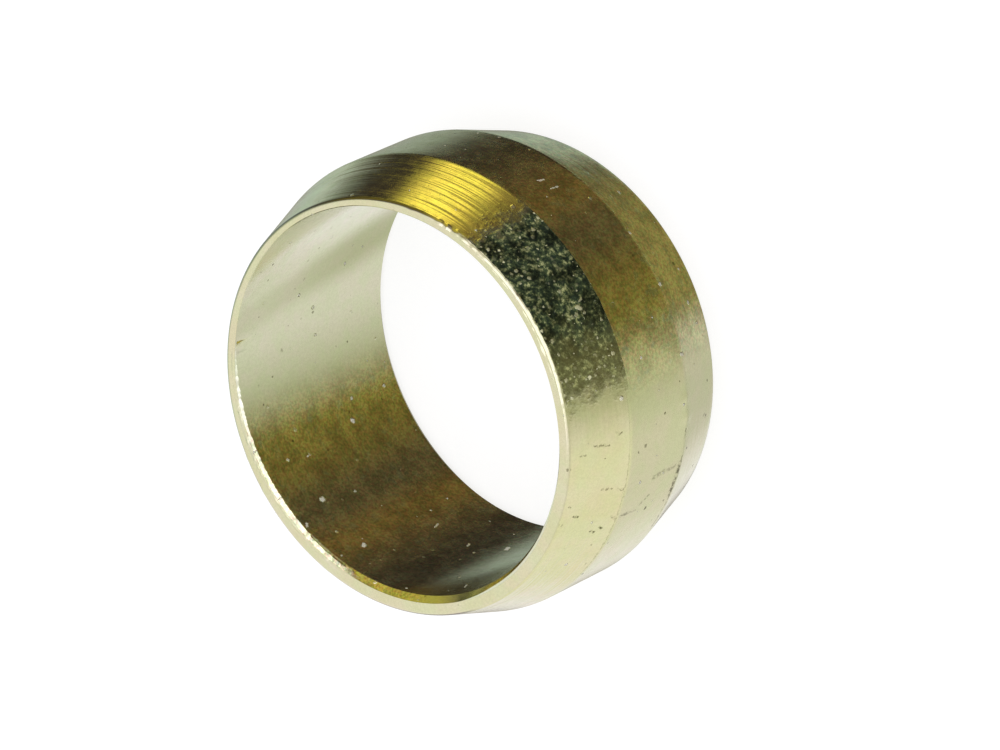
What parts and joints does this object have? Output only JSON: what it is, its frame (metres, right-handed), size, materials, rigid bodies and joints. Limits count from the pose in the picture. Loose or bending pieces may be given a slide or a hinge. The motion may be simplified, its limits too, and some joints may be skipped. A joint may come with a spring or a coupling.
{
  "type": "compression olive",
  "caption": "Brass compression ring with a plain bore, a cylindrical land round its middle and a conical flank to a narrow end face on each side.",
  "frame": {"origin": "centre of the lower end face, on the axis of the bore", "axes": "+Z along the bore, from the lower end face to the upper one; the ring is round, so X and Y are any two directions across it"},
  "size_m": [0.0182, 0.0182, 0.009],
  "materials": {
    "turned_brass": "bright from the lathe, with fine turning rings, a pitted patch on one flank, light scratches and small nicks in the rim"
  },
  "bodies": {
    "root": {"olive": "turned_brass"}
  },
  "joints": []
}
